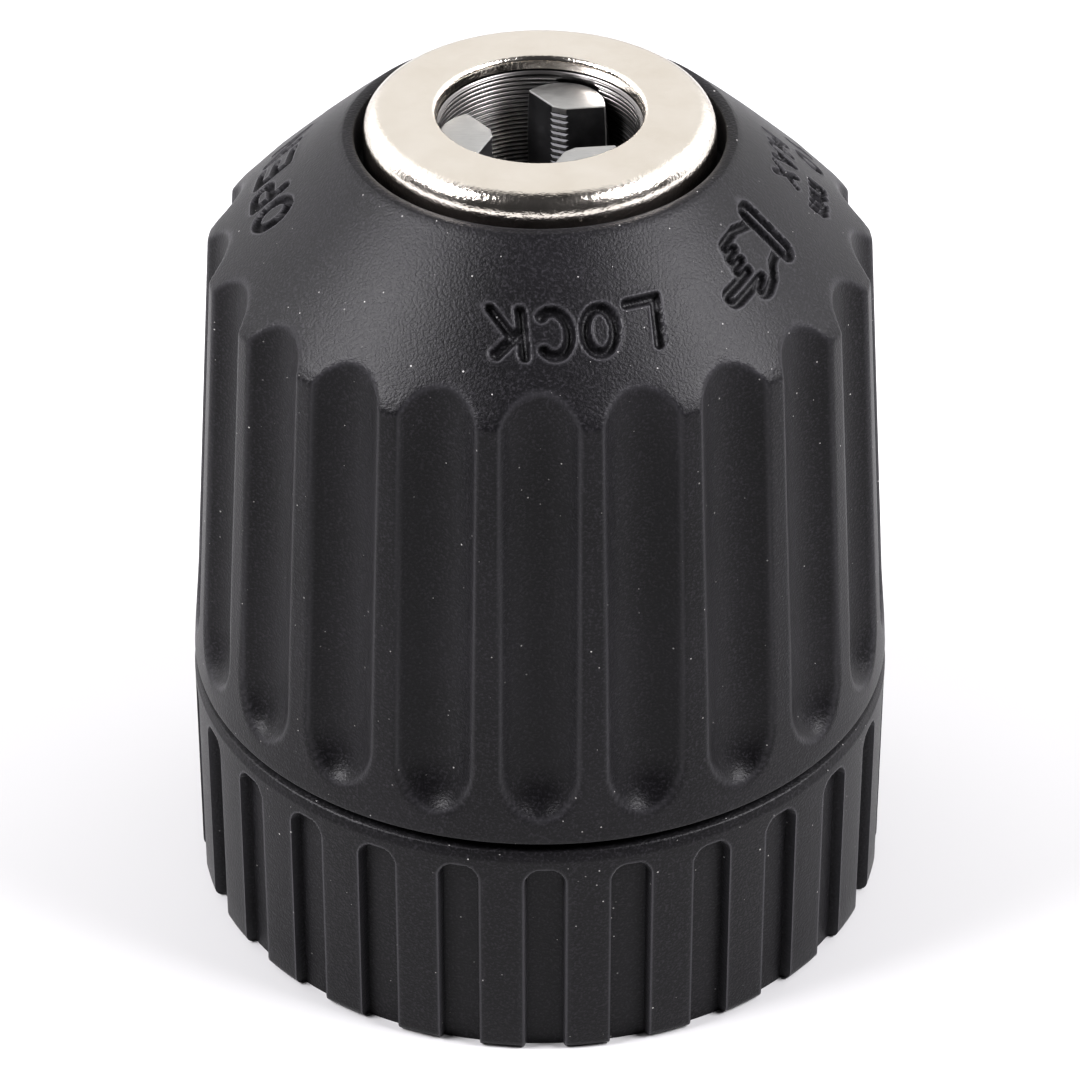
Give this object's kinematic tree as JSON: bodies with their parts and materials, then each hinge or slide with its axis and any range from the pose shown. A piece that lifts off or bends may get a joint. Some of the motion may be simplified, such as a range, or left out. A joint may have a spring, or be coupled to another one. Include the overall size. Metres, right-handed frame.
{
  "type": "keyless drill chuck",
  "caption": "Keyless drill chuck with a ribbed gripping sleeve, a held rear sleeve, a plated nose ring and slanted jaws that close on a bit's shank.",
  "frame": {"origin": "on the chuck's axis, in the plane of the body's tail face", "axes": "+Z along the chuck's axis, out of the nose; +X and +Y across it, with one flute of the front sleeve on -Y"},
  "size_m": [0.038, 0.038, 0.047],
  "materials": {
    "front_plastic": "fine spark-eroded grain, matte",
    "rear_plastic": "fine spark-eroded grain, matte",
    "nickel_plate": "bright nickel plate",
    "turned_steel": "fine turned grooves, oiled",
    "jaw_steel": "black oxide sides, ground faces",
    "nut_steel": "dark sintered steel",
    "bearing_steel": "hardened, polished",
    "cage_pressing": "pressed, oiled"
  },
  "bodies": {
    "chuck": {"chuck_body": "turned_steel", "rear_sleeve": "rear_plastic", "nose_cap": "nickel_plate", "rear_race": "bearing_steel"},
    "sleeve": {"front_sleeve": "front_plastic", "nut_half_1": "nut_steel", "nut_half_2": "nut_steel", "nut_band": "nut_steel", "front_race": "bearing_steel"},
    "cage": {"ball_cage": "cage_pressing", "ball_01": "bearing_steel", "ball_02": "bearing_steel", "ball_03": "bearing_steel", "ball_04": "bearing_steel", "ball_05": "bearing_steel", "ball_06": "bearing_steel", "ball_07": "bearing_steel", "ball_08": "bearing_steel", "ball_09": "bearing_steel", "ball_10": "bearing_steel", "ball_11": "bearing_steel", "ball_12": "bearing_steel", "ball_13": "bearing_steel", "ball_14": "bearing_steel", "ball_15": "bearing_steel"},
    "jaw_1": {"jaw_1": "jaw_steel"},
    "jaw_2": {"jaw_2": "jaw_steel"},
    "jaw_3": {"jaw_3": "jaw_steel"}
  },
  "joints": [
    {"name": "sleeve_turn", "type": "hinge", "parent": "chuck", "child": "sleeve", "pos_m": [0, 0, 0.025], "axis": [0, 0, 1], "range_deg": [-1168, 1390]},
    {"name": "cage_turn", "type": "hinge", "parent": "chuck", "child": "cage", "pos_m": [0, 0, 0.0233], "axis": [0, 0, 1], "range_deg": [-584, 695]},
    {"name": "jaw_1_slide", "type": "slide", "parent": "chuck", "child": "jaw_1", "axis": [-0.1011, -0.2382, 0.9659], "range_m": [-0.00966, 0.00811]},
    {"name": "jaw_2_slide", "type": "slide", "parent": "chuck", "child": "jaw_2", "axis": [0.2569, 0.0315, 0.9659], "range_m": [-0.00966, 0.00811]},
    {"name": "jaw_3_slide", "type": "slide", "parent": "chuck", "child": "jaw_3", "axis": [-0.1558, 0.2067, 0.9659], "range_m": [-0.00966, 0.00811]}
  ],
  "couplings": [
    {"joint": "cage_turn", "follows": "sleeve_turn", "ratio": 0.5},
    {"joint": "jaw_1_slide", "follows": "sleeve_turn", "m_per_rad": -0.00039789},
    {"joint": "jaw_2_slide", "follows": "sleeve_turn", "m_per_rad": -0.00039789},
    {"joint": "jaw_3_slide", "follows": "sleeve_turn", "m_per_rad": -0.00039789}
  ]
}
